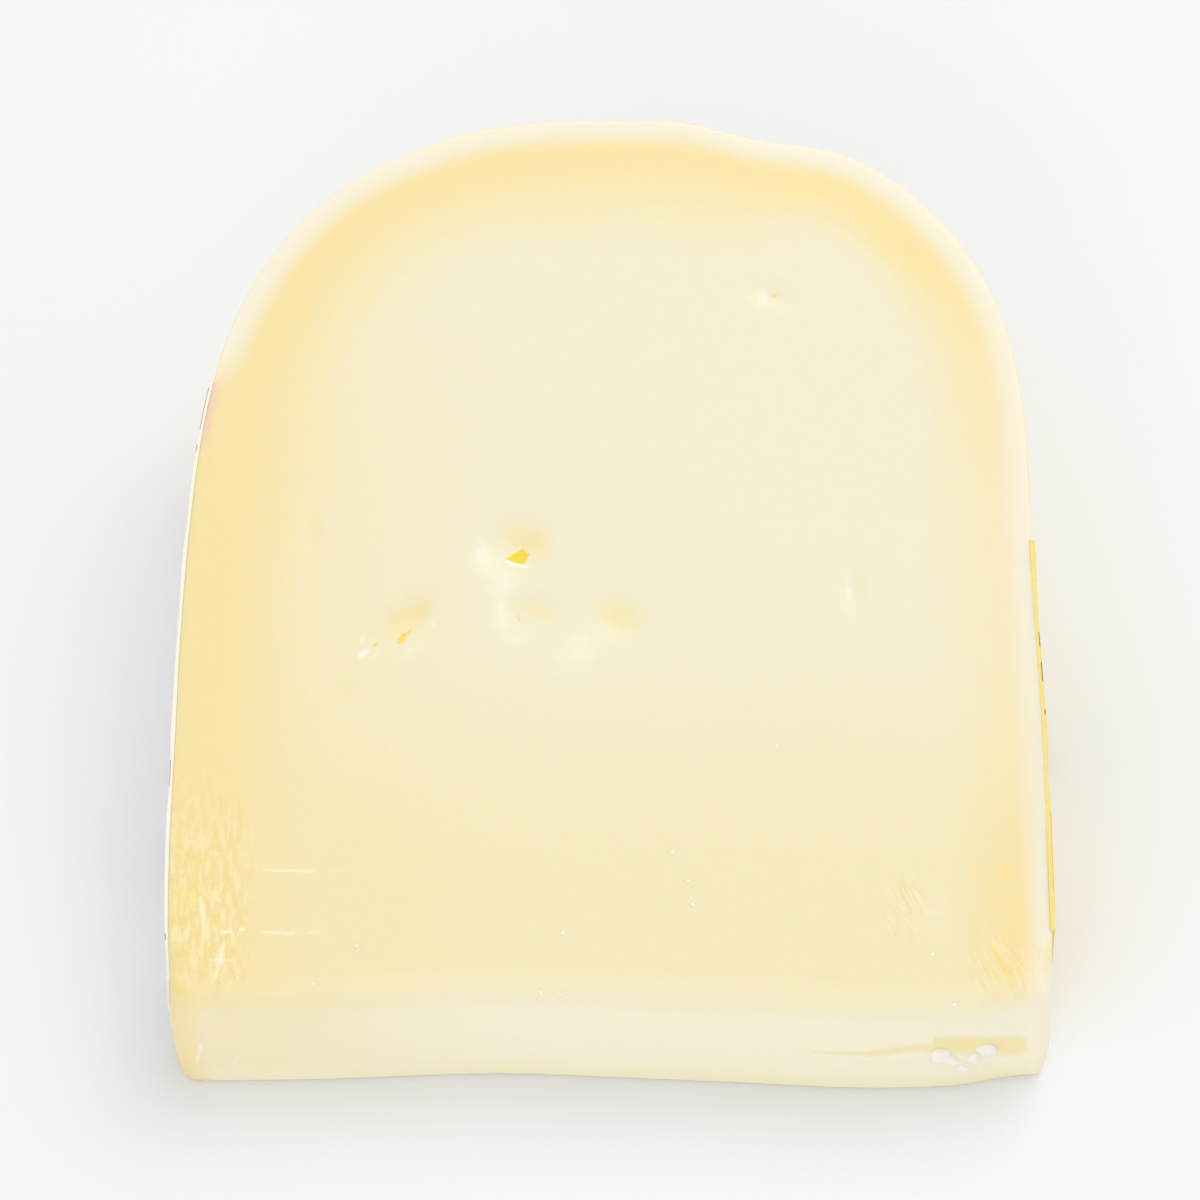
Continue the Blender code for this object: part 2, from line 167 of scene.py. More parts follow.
# The cut face's outline moved in by inset, in four stretches that run anticlockwise from above: blunt end,
# right flank, rim, left flank. Flanks and rim follow |x / half|^widthPower + share^lengthPower = 1.
def outlineStretches(inset):
    half = wedge["halfHeight"] - inset
    reach = wedge["length"] - wedge["flank"] - inset
    leftRadius = max(wedge["leftCorner"] - inset, 1.0)
    rightRadius = max(wedge["rightCorner"] - inset, 1.0)
    leftCentre = (-half + leftRadius, inset + leftRadius)
    rightCentre = (half - rightRadius, inset + rightRadius)
    quarter = 0.5 * math.pi
    shoulder = (1.0 - wedge["shoulder"] ** wedge["widthPower"]) ** (1.0 / wedge["lengthPower"])
    share = np.linspace(0.0, shoulder, 240)
    flankX = half * (1.0 - share ** wedge["lengthPower"]) ** (1.0 / wedge["widthPower"])
    flankAlong = wedge["flank"] + reach * share
    rimX = half * wedge["shoulder"] * np.linspace(1.0, -1.0, 320)
    rimShare = (1.0 - np.abs(rimX / half) ** wedge["widthPower"]) ** (1.0 / wedge["lengthPower"])
    front = np.linspace(leftCentre[0], rightCentre[0], 160)[1:-1]
    upRight = np.linspace(rightCentre[1], wedge["flank"], 32)[1:-1]
    downLeft = np.linspace(wedge["flank"], leftCentre[1], 32)[1:-1]
    blunt = np.hstack([cornerArc(leftCentre, leftRadius, 2.5 * quarter, 3 * quarter),
                       (front, 0.0 * front + inset),
                       cornerArc(rightCentre, rightRadius, -quarter, -0.5 * quarter)])
    right = np.hstack([cornerArc(rightCentre, rightRadius, -0.5 * quarter, 0.0),
                       (half + 0.0 * upRight, upRight), (flankX, flankAlong)])
    rim = np.array([rimX, wedge["flank"] + reach * rimShare])
    left = np.hstack([(-flankX[::-1], flankAlong[::-1]), (0.0 * downLeft - half, downLeft),
                      cornerArc(leftCentre, leftRadius, 2 * quarter, 2.5 * quarter)])
    return [np.array(unevenSection(*stretch)) for stretch in (blunt, right, rim, left)]


# Places 0 to 1 that crowd round a focus: the running sum of 1 + pull * exp(-((t - focus) / spread)^2).
def crowdedShares(count, focus, spread, pull):
    fine = np.linspace(0.0, 1.0, 4001)
    run = np.concatenate([[0.0], np.cumsum(1.0 + pull * np.exp(-(((fine[1:] - focus) / spread) ** 2)))])
    return np.interp(np.linspace(0.0, run[-1], count + 1), run, fine)


crossShares = crowdedShares(grid["cross"], 0.37, 0.10, 2.2)
alongShares = crowdedShares(grid["along"], 0.50, 0.08, 2.2)


def placeOnStretch(stretch, shares):
    run = np.concatenate([[0.0], np.cumsum(np.hypot(*np.diff(stretch, axis=1)))])
    wanted = shares[:-1] * run[-1]
    return np.array([np.interp(wanted, run, stretch[0]), np.interp(wanted, run, stretch[1])])


def outlinePoints(inset):
    shares = (crossShares, alongShares, 1.0 - crossShares[::-1], 1.0 - alongShares[::-1])
    return np.hstack([placeOnStretch(*pair) for pair in zip(outlineStretches(inset), shares)])


def radiusAt(along):
    return wedge["rimRadius"] - wedge["length"] + along


# Point for x, along and turn; lower down, the distance from the rim grows by bluntLean and the width by
# footFlare.
def wedgePoint(x, along, turn):
    lower = 1.0 - turn / wedge["turn"]
    share, low, high = wedge["footFlare"]
    x = x * (1.0 + share * lower * lower * (1.0 - smoothStep(along, low, high)))
    distance = wedge["rimRadius"] - (wedge["length"] - along) * (1.0 + wedge["bluntLean"] * lower)
    return np.stack([x + 0.0 * turn, distance * np.cos(turn), distance * np.sin(turn)], axis=-1)


def edgeRadiusAt(along):
    return wedge["bluntEdge"] + (wedge["rindEdge"] - wedge["bluntEdge"]) * smoothStep(along, 1.0, 10.0)


def bulgeAt(share):
    return wedge["sideBulge"] * np.sin(math.pi * np.clip(share, 0.0, 1.0))


# Upper cut face: soft hollows over the gas holes, the holes themselves, creases and crinkles of the tight
# wrapping. Hollows, holes and tints: x, along, half length, half width, depth or tone (above 0 more yellow,
# below 0 paler), turn. Lips: from, to, half width, height.
cutFace = {
    "hollows": {
        "bigEye": (-10.4, 58.0, 4.3, 3.8, 1.10, 0.0),
        "furrow": (-25.4, 48.0, 4.6, 2.1, 0.90, math.radians(32)),
        "furrowTop": (-23.0, 50.2, 2.2, 1.8, 0.35, math.radians(50)),
        "smallEye": (-8.8, 49.8, 3.6, 2.4, 0.60, math.radians(10)),
        "wideDimple": (2.2, 48.6, 3.8, 2.8, 0.75, math.radians(-12)),
        "leftDimple": (-36.0, 59.4, 2.6, 1.4, 0.42, math.radians(90)),
        "rightDimple": (32.1, 52.3, 2.7, 1.1, 0.45, math.radians(90)),
        "rimSlit": (22.1, 91.1, 2.2, 1.2, 0.38, math.radians(-15)),
        "faintDimple": (-31.9, 39.4, 2.4, 1.8, 0.28, 0.0),
        "rightMark": (49.9, 44.2, 1.2, 1.6, 0.12, 0.0),
    },
    # Tints of the eyes, the furrow, the dimples and the rim slit: the yellower ones lie in the hollows and on walls
    # turned away from the lamps, partly the thin paste over the eyes and partly painted shade; the paler ones lie on
    # walls and rims turned towards the lamps and are painted light.
    "tintsAndPaintedLight": {
        "bigEyeTop": (-10.3, 59.4, 2.4, 2.4, 0.62, 0.0),
        "bigEyeRight": (-7.6, 57.8, 1.5, 2.8, 0.56, 0.0),
        "bigEyeLeft": (-14.9, 57.4, 1.2, 2.2, -0.30, 0.0),
        "bigEyeArc": (-5.6, 58.0, 0.5, 1.8, -0.24, 0.0),
        "bigEyeBelow": (-12.6, 53.8, 3.6, 2.8, -0.28, math.radians(-50)),
        "bigEyeFarBelow": (-11.2, 50.8, 2.2, 2.4, -0.16, 0.0),
        "furrow": (-25.0, 48.4, 4.5, 2.0, 0.58, math.radians(32)),
        "furrowTop": (-22.6, 49.8, 1.5, 2.2, 0.34, 0.0),
        "furrowBelow": (-23.6, 44.8, 2.4, 1.1, -0.24, math.radians(32)),
        "smallEyeRight": (-9.2, 50.2, 2.3, 2.0, 0.56, 0.0),
        "smallEyeFar": (-6.4, 49.0, 2.1, 1.2, 0.44, 0.0),
        "smallEyeLeft": (-12.4, 49.3, 1.1, 2.0, -0.26, 0.0),
        "smallEyeBelow": (-10.8, 46.0, 3.4, 2.2, -0.22, 0.0),
        "wideDimple": (2.2, 48.8, 3.8, 2.6, 0.66, math.radians(-12)),
        "wideDimpleLeft": (-2.4, 44.8, 3.2, 4.0, -0.28, math.radians(-30)),
        "wideDimpleRight": (6.6, 51.2, 1.6, 1.4, -0.16, 0.0),
        "leftDimple": (-35.6, 59.8, 2.2, 1.1, 0.30, math.radians(90)),
        "leftDimpleEdge": (-37.2, 59.0, 2.2, 0.5, -0.22, math.radians(90)),
        "rightDimple": (33.2, 52.4, 2.2, 0.9, 0.32, math.radians(90)),
        "rightDimpleEdge": (31.4, 52.2, 2.4, 0.7, -0.36, math.radians(90)),
        "rimSlitLeft": (21.0, 91.0, 1.8, 0.7, -0.36, math.radians(90)),
        "faintDimple": (-31.6, 39.8, 2.2, 1.6, 0.30, 0.0),
        "leftPatchHigh": (-51.4, 13.2, 2.4, 0.7, 0.55, math.radians(80)),
        "leftPatchMiddle": (-49.0, 6.6, 1.4, 0.7, 0.60, math.radians(85)),
        "leftPatchLow": (-52.0, 2.6, 1.4, 0.9, 0.60, 0.0),
        "rightPatch": (47.0, 16.4, 2.0, 0.6, 0.66, 0.0),
        "rightPatchEnd": (50.0, 16.5, 1.2, 0.8, 0.62, math.radians(60)),
        "rightPatchDash": (33.4, 16.9, 1.2, 0.5, 0.50, 0.0),
        "rightPatchFar": (32.6, 10.6, 1.6, 1.8, 0.24, 0.0),
        "rightPatchBelow": (49.0, 11.8, 1.7, 3.2, 0.30, 0.0),
        "rightPale": (41.2, 12.2, 2.4, 2.8, -0.20, 0.0),
    },
    "tear": ((-11.9, 56.5), (-10.7, 55.85), (-9.55, 55.75), (-8.9, 57.05), (-9.75, 57.95)),
    "tearDepth": 0.45,
    "holes": {
        "furrowEye": (-24.9, 46.1, 0.62, 0.36, 0.35, math.radians(66)),
        "furrowTail": (-24.1, 46.9, 0.75, 0.20, 0.18, math.radians(40)),
        "furrowEnd": (-28.1, 45.3, 0.30, 0.24, 0.20, 0.0),
        "smallEye": (-10.3, 48.5, 0.58, 0.17, 0.12, math.radians(-55)),
        "rimSlit": (22.3, 91.1, 0.75, 0.16, 0.12, math.radians(70)),
    },
    "lips": {
        "bigEyeLower": (-12.0, 56.1, -9.4, 55.4, 0.30, 0.12),
        "furrowCrumb": (-30.4, 43.7, -29.2, 44.4, 0.42, 0.22),
        "furrowCrumbTop": (-30.2, 45.2, -29.6, 46.6, 0.30, 0.10),
        "furrowCrumbRight": (-28.6, 43.8, -28.0, 43.9, 0.24, 0.08),
    },
    "leftCrinkle": (-53.5, -45.0, -1.0, 30.0),
    "rightCrinkle": (45.5, 54.0, -2.0, 9.0),
    "crinkleHeight": 0.06,
    "knifeHeight": 0.035,
}


# Crinkles of the wrapping: noise drawn out along its folds, sharpened into ridges, 0 outside the zones.
def crinkleShape(x, along):
    low, high, start, end = cutFace["leftCrinkle"]
    leftZone = windowShape(x, low, high, 1.6) * windowShape(along, start, end, 3.0)
    leftZone = leftZone * (0.35 + 0.65 * windowShape(along, 4.0, 24.0, 6.0))
    sway = 1.6 * (smoothNoise(x / 5.0, along / 7.0, 3, 2) - 0.5)
    tall = smoothNoise((x + sway) / 1.5, along / 5.5, 11, 3)
    cross = smoothNoise(x / 3.5, (along + sway) / 1.3, 29, 3)
    left = leftZone * (smoothStep(tall, 0.40, 0.70) - 0.45 + 0.4 * smoothStep(cross, 0.55, 0.80))
    low, high, start, end = cutFace["rightCrinkle"]
    rightZone = windowShape(x, low, high, 2.0) * windowShape(along, start, end, 3.0)
    slant = (x - 35.0) * 0.88 + along * 0.47
    down = along * 0.88 - (x - 35.0) * 0.47
    fold = smoothNoise((slant + 0.02 * down ** 2) / 1.3, down / 7.0, 41, 3)
    right = 0.55 * rightZone * (smoothStep(fold, 0.46, 0.70) - 0.40)
    return left + right


# How far a place lies inside the torn opening of the big eye: the least distance from its straight sides.
def tearInside(x, along):
    corners = cutFace["tear"]
    inside = np.full(np.shape(x), 1e9)
    for (fromX, fromAlong), (toX, toAlong) in zip(corners, corners[1:] + corners[:1]):
        run = math.hypot(toX - fromX, toAlong - fromAlong)
        side = ((toX - fromX) * (along - fromAlong) - (toAlong - fromAlong) * (x - fromX)) / run
        inside = np.minimum(inside, side)
    return inside


# Depth below the plane of the upper cut, and tone: above 0 more yellow, below 0 paler, painted shade and light
# included.
def cutRelief(x, along):
    depth = 0.12 * np.sin(0.095 * along + 0.030 * x) + 0.10 * np.sin(0.140 * x - 0.040 * along)
    tone = np.zeros_like(depth)
    ragged = smoothNoise(x / 0.9, along / 0.9, 5, 2) - 0.5
    for *place, deepest, turn in cutFace["hollows"].values():
        depth = depth + deepest * roundBump(x, along, *place, turn)
    for *place, strength, turn in cutFace["tintsAndPaintedLight"].values():
        tone = tone + strength * roundBump(x, along, *place, turn)
    depth = depth + cutFace["tearDepth"] * smoothStep(tearInside(x, along), -0.05, 0.55)
    for centreX, centreAlong, halfLength, halfWidth, deepest, turn in cutFace["holes"].values():
        size = 1.0 + 0.9 * ragged
        bump = roundBump(x, along, centreX, centreAlong, halfLength * size, halfWidth * size, turn)
        depth = depth + deepest * smoothStep(bump, 0.25, 0.62)
        pit = smoothStep(bump, 0.22, 0.55)
        tone = tone * (1.0 - pit) + (1.0 + 2.4 * deepest) * pit
    for fromX, fromAlong, toX, toAlong, halfWidth, height in cutFace["lips"].values():
        bump = strokeBump(x, along, fromX, fromAlong, toX, toAlong, halfWidth * (1.0 + 1.2 * ragged))
        depth = depth - height * bump
        tone = tone * (1.0 - bump) - (0.25 + 2.4 * height) * bump
    crinkle = crinkleShape(x, along)
    depth = depth - cutFace["crinkleHeight"] * crinkle
    tone = tone - 0.12 * crinkle
    lowerHalf = 0.35 + 0.65 * (1.0 - smoothStep(along, 20.0, 75.0))
    knife = smoothNoise(x / 34.0, along / 0.9, 61, 3) - 0.5
    depth = depth + cutFace["knifeHeight"] * lowerHalf * knife
    tone = tone + 0.22 * lowerHalf * knife
    return depth, tone


# Blunt end: a crack that starts as a hairline, gapes near the right corner and closes roundly before it.
# Heights of its two edges above the foot: start, then each change with the x it runs from and to.
bluntFace = {
    "crackFrom": 24.0,
    "crackTo": 53.0,
    "upperEdge": (10.5, (1.9, 32.0, 40.0), (1.8, 41.1, 41.7), (-1.2, 43.5, 50.0), (-1.2, 46.0, 53.0)),
    "lowerEdge": (10.1, (-0.4, 29.0, 34.0), (0.6, 35.0, 38.5), (-0.3, 39.0, 41.5), (-1.1, 42.0, 45.0),
                  (-2.7, 47.0, 52.0)),
    "rounding": 0.6,
    "hairDepth": 0.2,
    "depth": 0.35,
    "setBack": 0.15,
    "unevenness": 0.30,
}


def crackEdge(x, edge):
    height = bluntFace[edge][0]
    for change, low, high in bluntFace[edge][1:]:
        height = height + change * smoothStep(x, low, high)
    return height


# Middle and half height of the crack's opening at x.
def crackOpening(x):
    upper, lower = crackEdge(x, "upperEdge"), crackEdge(x, "lowerEdge")
    shut = np.sqrt(np.clip((bluntFace["crackTo"] - x) / bluntFace["rounding"], 0.0, 1.0))
    return 0.5 * (upper + lower), 0.5 * (upper - lower) * shut


# Inward offset and tone of the blunt end at x and height.
def bluntRelief(x, height, nearBlunt):
    there = smoothStep(x, bluntFace["crackFrom"], bluntFace["crackFrom"] + 6.0)
    middle, half = crackOpening(x)
    half = half + 0.02
    ragged = smoothNoise(x / 1.3, height / 1.3, 71, 2) - 0.5
    fromCrack = height - middle + 0.5 * ragged * smoothStep(half, 0.3, 1.2)
    slot = there * np.exp(-((np.abs(fromCrack) / half) ** 6)) * (x < bluntFace["crackTo"])
    grown = smoothStep(half, 0.3, 2.2)
    inset = (bluntFace["hairDepth"] + (bluntFace["depth"] - bluntFace["hairDepth"]) * grown) * slot
    inset = inset + bluntFace["setBack"] * grown * smoothStep(fromCrack, 0.0, 2.0)
    dents = smoothNoise(x / 13.0, height / 9.0, 83, 3) - 0.5
    inset = inset + bluntFace["unevenness"] * dents
    tone = slot * (0.68 + 0.12 * grown)
    return inset * nearBlunt, tone * nearBlunt


# All rows of the outer skin, from the foot up the side and over the cut edge to the band's inner outline:
# returns points (rows, columns, 3) and the vertex attributes of the same shape.
def skinRows():
    outer = outlinePoints(0.0)
    inward = (outlinePoints(wedge["band"]) - outer) / wedge["band"]
    edge = edgeRadiusAt(outer[1])
    nearBlunt = 1.0 - smoothStep(outer[1], 1.5, 7.0)
    lowTurn = wedge["foot"] / radiusAt(outer[1])
    highTurn = wedge["turn"] - edge / radiusAt(outer[1])
    crackShare = (crackOpening(outer[0])[0] / radiusAt(outer[1]) - lowTurn) / (highTurn - lowTurn)
    crackPull = 0.55 * windowShape(outer[0], bluntFace["crackFrom"], 58.0, 5.0) * nearBlunt
    rows = []

    def addRow(inset, turn, tone, cutShare):
        x, along = outer + inward * inset
        rows.append((wedgePoint(x, along, turn), tone, cutShare + 0.0 * edge, inset + 0.0 * edge))

    for step in range(grid["footRows"]):
        bend = 0.5 * math.pi * step / grid["footRows"]
        lift = wedge["foot"] * (1.0 - math.cos(bend))
        addRow(wedge["foot"] * (1.0 - math.sin(bend)), lift / radiusAt(outer[1]), 0.0 * edge, 0.0)
    for step in range(grid["sideRows"] + 1):
        share = step / grid["sideRows"]
        share = share + crackPull * (crackShare - share) * np.exp(-(((share - crackShare) / 0.22) ** 2))
        turn = lowTurn + (highTurn - lowTurn) * share
        offset, tone = bluntRelief(outer[0], turn * radiusAt(outer[1]), nearBlunt)
        fade = windowShape(share, 0.02, 0.98, 0.06)
        addRow(offset * fade - bulgeAt(share), turn, tone, 0.0)
    for step in range(1, grid["edgeRows"] + 1):
        bend = 0.5 * math.pi * step / grid["edgeRows"]
        inset = edge * (1.0 - math.cos(bend))
        depth, tone = cutRelief(*(outer + inward * inset))
        drop = edge * (1.0 - math.sin(bend)) + depth * step / grid["edgeRows"]
        addRow(inset, wedge["turn"] - drop / radiusAt(outer[1]), tone, step / grid["edgeRows"])
    for step in range(1, grid["bandRows"] + 1):
        inset = edge + (wedge["band"] - edge) * step / grid["bandRows"]
        depth, tone = cutRelief(*(outer + inward * inset))
        addRow(inset, wedge["turn"] - depth / radiusAt(outer[1] + inset), tone, 1.0)
    return [np.array(part) for part in zip(*rows)]


# Coons patch inside the band: opposite borders blended, corners taken off once.
def innerPlaces():
    border = outlinePoints(wedge["band"])
    across, up = grid["cross"], grid["along"]
    closed = np.hstack([border, border[:, :1]])
    blunt = closed[:, :across + 1, None]
    rim = closed[:, across + up:2 * across + up + 1][:, ::-1, None]
    right = closed[:, None, across:across + up + 1]
    left = closed[:, None, 2 * across + up:][:, :, ::-1]
    u, v = crossShares[None, :, None], alongShares[None, None, :]
    sides = (1 - v) * blunt + v * rim + (1 - u) * left + u * right
    corners = ((1 - u) * (1 - v) * blunt[:, :1] + u * (1 - v) * blunt[:, -1:]
               + (1 - u) * v * rim[:, :1] + u * v * rim[:, -1:])
    return sides - corners


# Distance from the rind (flanks and rim, run on straight past the blunt end) of places in the cut face: the
# least distance from the segments of that line.
def rindDistance(x, along):
    stretches = outlineStretches(0.0)
    rightEnd, leftEnd = stretches[1][:, 24:25], stretches[3][:, -25:-24]
    beyond = np.array([[0.0], [30.0]])
    rind = np.hstack([rightEnd - beyond, stretches[1][:, 24::12], stretches[2][:, ::8],
                      stretches[3][:, :-25:12], leftEnd, leftEnd - beyond])
    nearest = np.full(np.shape(x), 1e9)
    for start, end in zip(rind.T[:-1], rind.T[1:]):
        run = end - start
        share = np.clip(((x - start[0]) * run[0] + (along - start[1]) * run[1]) / (run @ run), 0.0, 1.0)
        aside, away = x - start[0] - share * run[0], along - start[1] - share * run[1]
        nearest = np.minimum(nearest, aside ** 2 + away ** 2)
    return np.sqrt(nearest)


def ringQuads(lower, upper):
    return np.stack([lower, np.roll(lower, -1), np.roll(upper, -1), upper], axis=-1).reshape(-1, 4)


# Puts numbered points and faces into a mesh piece with float attributes, all in the world's metres.
def makePiece(name, points, faces, attributes, material):
    mesh = bpy.data.meshes.new(name)
    mesh.from_pydata(points.tolist(), [], faces)
    for key, values in attributes.items():
        layer = mesh.attributes.new(key, "FLOAT", "POINT")
        layer.data.foreach_set("value", np.asarray(values, dtype=np.float32).ravel())
    mesh.validate()
    mesh.shade_smooth()
    mesh.materials.append(material)
    piece = bpy.data.objects.new(name, mesh)
    bpy.context.scene.collection.objects.link(piece)
    return piece


# The cheese as one closed surface: skin rows, the upper cut's grid and rings closing the lower cut.
def cheeseSurface():
    points, tone, cutShare, inset = skinRows()
    rows, count = tone.shape
    number = np.arange(rows * count).reshape(rows, count)
    quads = [ringQuads(number[row], number[row + 1]) for row in range(rows - 1)]
    x, along = innerPlaces()
    depth, innerTone = cutRelief(x, along)
    inner = wedgePoint(x, along, wedge["turn"] - depth / radiusAt(along))
    across, up = grid["cross"], grid["along"]
    last = number[-1]
    table = np.zeros((across + 1, up + 1), dtype=int)
    table[1:-1, 1:-1] = rows * count + np.arange((across - 1) * (up - 1)).reshape(across - 1, up - 1)
    table[:, 0] = last[:across + 1]
    table[-1, :] = last[across:across + up + 1]
    table[:, -1] = last[across + up:2 * across + up + 1][::-1]
    table[0, 1:] = np.concatenate([last[2 * across + up:], last[:1]])[::-1][1:]
    quads.append(np.stack([table[:-1, :-1], table[1:, :-1], table[1:, 1:], table[:-1, 1:]], -1).reshape(-1, 4))
    # lower cut: rings shrinking to its middle
    centre = np.array([points[0, :, 0].mean(), points[0, :, 1].mean(), 0.0])
    shrink = np.array([0.94, 0.86, 0.74, 0.56, 0.30][:grid["underRows"] - 1])[:, None, None]
    rings = centre + (points[0][None] - centre) * shrink
    start = rows * count + (across - 1) * (up - 1)
    ringNumber = start + np.arange(rings.shape[0] * count).reshape(-1, count)
    below = np.vstack([ringNumber[::-1], number[:1]])
    quads += [ringQuads(below[row], below[row + 1]) for row in range(len(below) - 1)]
    middle = start + ringNumber.size
    fan = np.stack([np.full(count, middle), np.roll(ringNumber[-1], -1), ringNumber[-1]], axis=-1)
    allPoints = np.vstack([points.reshape(-1, 3), inner[1:-1, 1:-1].reshape(-1, 3), rings.reshape(-1, 3), centre])
    faces = np.vstack(quads).tolist() + fan.tolist()
    placeX = allPoints[:, 0]
    placeAlong = np.hypot(allPoints[:, 1], allPoints[:, 2]) - radiusAt(0.0)
    under = rings.shape[0] * count + 1
    attributes = {
        "tone": np.concatenate([tone.ravel(), innerTone[1:-1, 1:-1].ravel(), np.zeros(under)]),
        "cutShare": np.concatenate([cutShare.ravel(), np.ones((across - 1) * (up - 1)), np.ones(under)]),
        "rind": rindDistance(placeX, placeAlong),
        "along": placeAlong,
        "across": placeX,
        "height": allPoints[:, 2],
    }
    return allPoints, faces, attributes


# One socket of a material: arithmetic on it adds Math nodes, also with a plain number on the left.
class Link:
    def __init__(self, paint, socket):
        self.paint = paint
        self.socket = socket

    def maths(self, operation, *terms):
        return self.paint.node("ShaderNodeMath", {"operation": operation}, dict(enumerate(terms)))

    def __add__(self, other):
        return self.maths("ADD", self, other)

    def __radd__(self, other):
        return self.maths("ADD", other, self)

    def __sub__(self, other):
        return self.maths("SUBTRACT", self, other)

    def __rsub__(self, other):
        return self.maths("SUBTRACT", other, self)

    def __mul__(self, other):
        return self.maths("MULTIPLY", self, other)

    def __rmul__(self, other):
        return self.maths("MULTIPLY", other, self)

    def __truediv__(self, other):
        return self.maths("DIVIDE", self, other)

    def clamped(self):
        return self.maths("MINIMUM", self.maths("MAXIMUM", self, 0.0), 1.0)

    # Smooth climb from 0 at low to 1 at high; low above high gives a fall.
    def ramp(self, low, high):
        settings = {"interpolation_type": "SMOOTHSTEP"}
        if low < high:
            return self.paint.node("ShaderNodeMapRange", settings, {0: self, 1: low, 2: high, 3: 0.0, 4: 1.0})
        return self.paint.node("ShaderNodeMapRange", settings, {0: self, 1: high, 2: low, 3: 1.0, 4: 0.0})


# One material with its Principled shader; plain values are set on the shader's own sockets.
class Paint:
    def __init__(self, name, values):
        self.material = bpy.data.materials.new(name)
        self.material.use_nodes = True
        self.tree = self.material.node_tree
        self.shader = self.tree.nodes["Principled BSDF"]
        for socket, value in values.items():
            self.feed(socket, value)

    def node(self, kind, settings=None, inputs=None, output=0):
        made = self.tree.nodes.new(kind)
        for key, value in (settings or {}).items():
            setattr(made, key, value)
        for place, value in (inputs or {}).items():
            if isinstance(value, Link):
                self.tree.links.new(value.socket, made.inputs[place])
            else:
                made.inputs[place].default_value = value
        return Link(self, made.outputs[output])

    def feed(self, socket, value):
        if isinstance(value, Link):
            self.tree.links.new(value.socket, self.shader.inputs[socket])
        else:
            self.shader.inputs[socket].default_value = value

    def attribute(self, name):
        return self.node("ShaderNodeAttribute", {"attribute_name": name}, output="Fac")

    def blend(self, share, first, second):
        return self.node("ShaderNodeMix", {"data_type": "RGBA"}, {0: share, 6: first, 7: second}, output=2)

    def place(self, stretch=(1.0, 1.0, 1.0)):
        position = self.node("ShaderNodeTexCoord", output="Object")
        return self.node("ShaderNodeMapping", {}, {"Vector": position, "Scale": stretch})

    def noise(self, scale, detail=3.0, stretch=(1.0, 1.0, 1.0), roughness=0.5):
        return self.node("ShaderNodeTexNoise", {}, {"Vector": self.place(stretch), "Scale": scale,
                                                    "Detail": detail, "Roughness": roughness})

    # noise read at two lengths, each already divided by the size of its features
    def folds(self, across, along, detail=2.5):
        point = self.node("ShaderNodeCombineXYZ", {}, {"X": across, "Y": along})
        return self.node("ShaderNodeTexNoise", {}, {"Vector": point, "Scale": 1.0, "Detail": detail,
                                                    "Roughness": 0.55})

    def bump(self, height, strength, distance):
        return self.node("ShaderNodeBump", {}, {"Height": height, "Strength": strength, "Distance": distance})


# Screen colour, 0 to 255 a channel, as the shader's linear colour.
def screenColour(red, green, blue):
    channels = np.array([red, green, blue]) / 255.0
    linear = np.where(channels <= 0.04045, channels / 12.92, ((channels + 0.055) / 1.055) ** 2.4)
    return (*[float(channel) for channel in linear], 1.0)


cheeseLook = {
    "heart": screenColour(237, 231, 203),
    "nearBlunt": screenColour(238, 227, 187),
    "band": screenColour(243, 223, 164),
    "outerRim": screenColour(241, 233, 214),
    "bluntFace": screenColour(251, 241, 214),
    "bluntFoot": screenColour(250, 239, 203),
    "rindSkin": screenColour(249, 228, 160),
    "deep": screenColour(252, 220, 100),
    "hole": screenColour(252, 224, 84),
    "foldLight": screenColour(250, 241, 206),
    "foldDeepAndShade": screenColour(236, 211, 126),
    "paintedLabelBounce": screenColour(246, 198, 188),
    "leftBlunt": screenColour(245, 229, 181),
    "pale": screenColour(253, 250, 240),
    "roughness": 0.46,
    "coat": 0.14,
}


# Creases of the tight wrapping, streaks of colour beside them, painted glints and painted shade. Each: from x,
# along (on the blunt end: height), to x, along, half width, bow to its left, tone as in cutFace.
creasesAndPaintedLight = {
    "onCut": (
        # Pale strokes (tone below 0): painted glints along the wrapping's creases.
        (-42.3, 16.7, -34.8, 16.6, 0.34, 0.0, -0.36), (-34.0, 16.6, -31.0, 16.6, 0.28, 0.0, -0.20),
        (-47.0, 8.8, -45.0, 9.2, 0.40, 0.0, -0.52), (-44.4, 9.3, -43.7, 9.3, 0.36, 0.0, -0.48),
        (-42.0, 8.9, -37.2, 8.9, 0.34, 0.0, -0.36), (-36.2, 8.9, -34.2, 8.9, 0.30, 0.0, -0.26),
        (-48.3, 5.5, -44.8, 5.5, 0.30, 0.0, -0.32), (-46.2, 8.2, -47.3, 2.8, 0.34, 0.1, -0.42),
        (-49.0, 13.4, -49.0, 4.2, 0.44, 0.2, -0.30),
        (-50.3, 15.2, -50.2, 11.0, 0.34, 0.1, 0.55),
        (-21.0, 47.0, -21.3, 51.0, 0.34, -0.3, -0.40), (17.2, 60.7, 47.9, 60.7, 0.12, 0.0, -0.16),
        (13.2, 46.5, 29.4, 46.5, 0.12, 0.0, -0.12), (7.6, 17.9, 28.3, 17.9, 0.14, 0.0, -0.14),
        (47.6, 7.9, 51.5, 0.0, 0.42, 0.3, 0.70), (49.9, 6.9, 52.6, 2.4, 0.24, 0.2, 0.45),
        (46.2, 8.3, 48.5, 0.7, 0.22, 0.1, 0.36), (38.2, 10.4, 43.6, 8.0, 0.16, -0.3, -0.16),
    ),
    "onBlunt": (
        # Pale strokes at the left corner: painted glints.
        (-49.9, 11.2, -51.0, 5.4, 0.40, 0.0, -0.42), (-45.6, 7.6, -46.4, 5.0, 0.30, 0.0, -0.28),
        (25.6, 9.9, 36.0, 10.9, 0.26, 0.0, 0.80), (33.0, 10.9, 41.6, 12.6, 0.90, 0.0, 0.32),
        # Amber strokes low at both corners of the blunt end: painted shade at the foot.
        (43.0, 1.0, 53.0, 1.4, 0.80, 0.0, 0.55), (-52.4, 1.3, -49.4, 0.9, 0.90, 0.0, 0.70),
    ),
}


